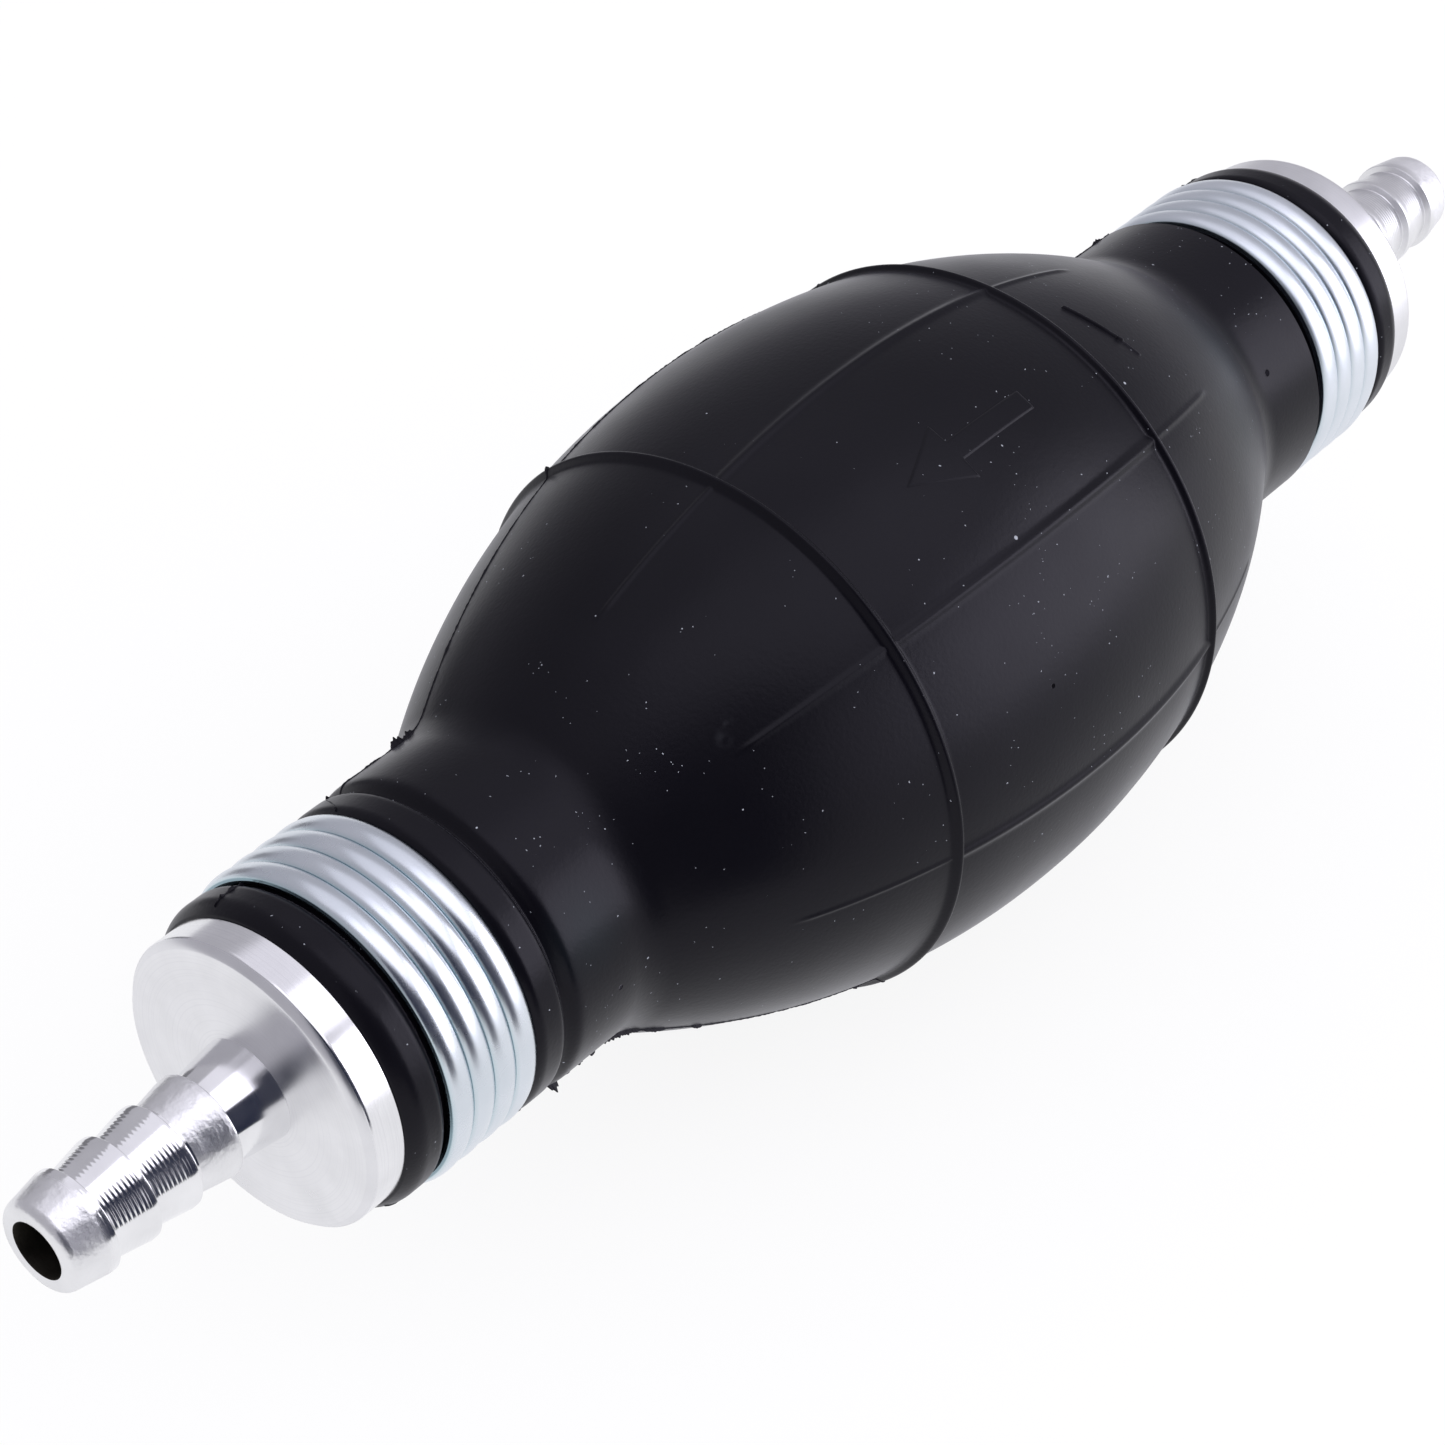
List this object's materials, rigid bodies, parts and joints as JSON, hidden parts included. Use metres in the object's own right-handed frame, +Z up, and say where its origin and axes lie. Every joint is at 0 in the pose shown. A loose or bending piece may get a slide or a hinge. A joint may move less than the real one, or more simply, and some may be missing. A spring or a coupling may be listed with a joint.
{
  "type": "siphon bulb pump",
  "caption": "Hand-squeezed rubber bulb pump for fuel lines, with a spring-loaded one-way valve and a barbed aluminium hose fitting in each end.",
  "frame": {"origin": "midway between the tips of the two hose barbs, on the axis that they share", "axes": "+X along the axis the way the liquid flows, towards the outlet barb; +Z up as the pump lies on its side; +Y completes the frame and is one of the two sides that a hand squeezes"},
  "size_m": [0.1794, 0.0536, 0.0536],
  "materials": {
    "bulb_rubber": "satin moulded",
    "turned_aluminium": "bright turned",
    "zinc_plated_sheet": "bright zinc plated",
    "brass": "turned",
    "seal_rubber": "smooth",
    "moulded_acetal": "matt moulded",
    "spring_steel": "bright drawn"
  },
  "bodies": {
    "pump": {"bulb": "bulb_rubber", "inlet_fitting": "turned_aluminium", "inlet_ferrule": "zinc_plated_sheet", "inlet_circlip": "spring_steel", "inlet_seat_ring": "brass", "inlet_seat_oring": "seal_rubber", "inlet_valve_guide": "moulded_acetal", "inlet_valve_spring": "spring_steel", "outlet_fitting": "turned_aluminium", "outlet_ferrule": "zinc_plated_sheet", "outlet_circlip": "spring_steel", "outlet_seat_ring": "brass", "outlet_seat_oring": "seal_rubber", "outlet_valve_guide": "moulded_acetal", "outlet_valve_spring": "spring_steel"},
    "inlet_valve": {"inlet_poppet": "moulded_acetal", "inlet_poppet_seal": "seal_rubber"},
    "outlet_valve": {"outlet_poppet": "moulded_acetal", "outlet_poppet_seal": "seal_rubber"},
    "left_wall": {"bulb_wall_left": "bulb_rubber"},
    "right_wall": {"bulb_wall_right": "bulb_rubber"}
  },
  "joints": [
    {"name": "inlet_valve_lift", "type": "slide", "parent": "pump", "child": "inlet_valve", "axis": [1, 0, 0], "range_m": [0, 0.0025], "stiffness_N_per_m": 80, "springref_m": -0.0015, "deforming": ["inlet_valve_spring"]},
    {"name": "outlet_valve_lift", "type": "slide", "parent": "pump", "child": "outlet_valve", "axis": [1, 0, 0], "range_m": [0, 0.0025], "stiffness_N_per_m": 80, "springref_m": -0.0015, "deforming": ["outlet_valve_spring"]},
    {"name": "left_wall_press", "type": "slide", "parent": "pump", "child": "left_wall", "axis": [0, -1, 0], "range_m": [0, 0.008], "stiffness_N_per_m": 1500},
    {"name": "right_wall_press", "type": "slide", "parent": "pump", "child": "right_wall", "axis": [0, 1, 0], "range_m": [0, 0.008], "stiffness_N_per_m": 1500}
  ],
  "couplings": [
    {"joint": "right_wall_press", "follows": "left_wall_press", "ratio": 1}
  ]
}
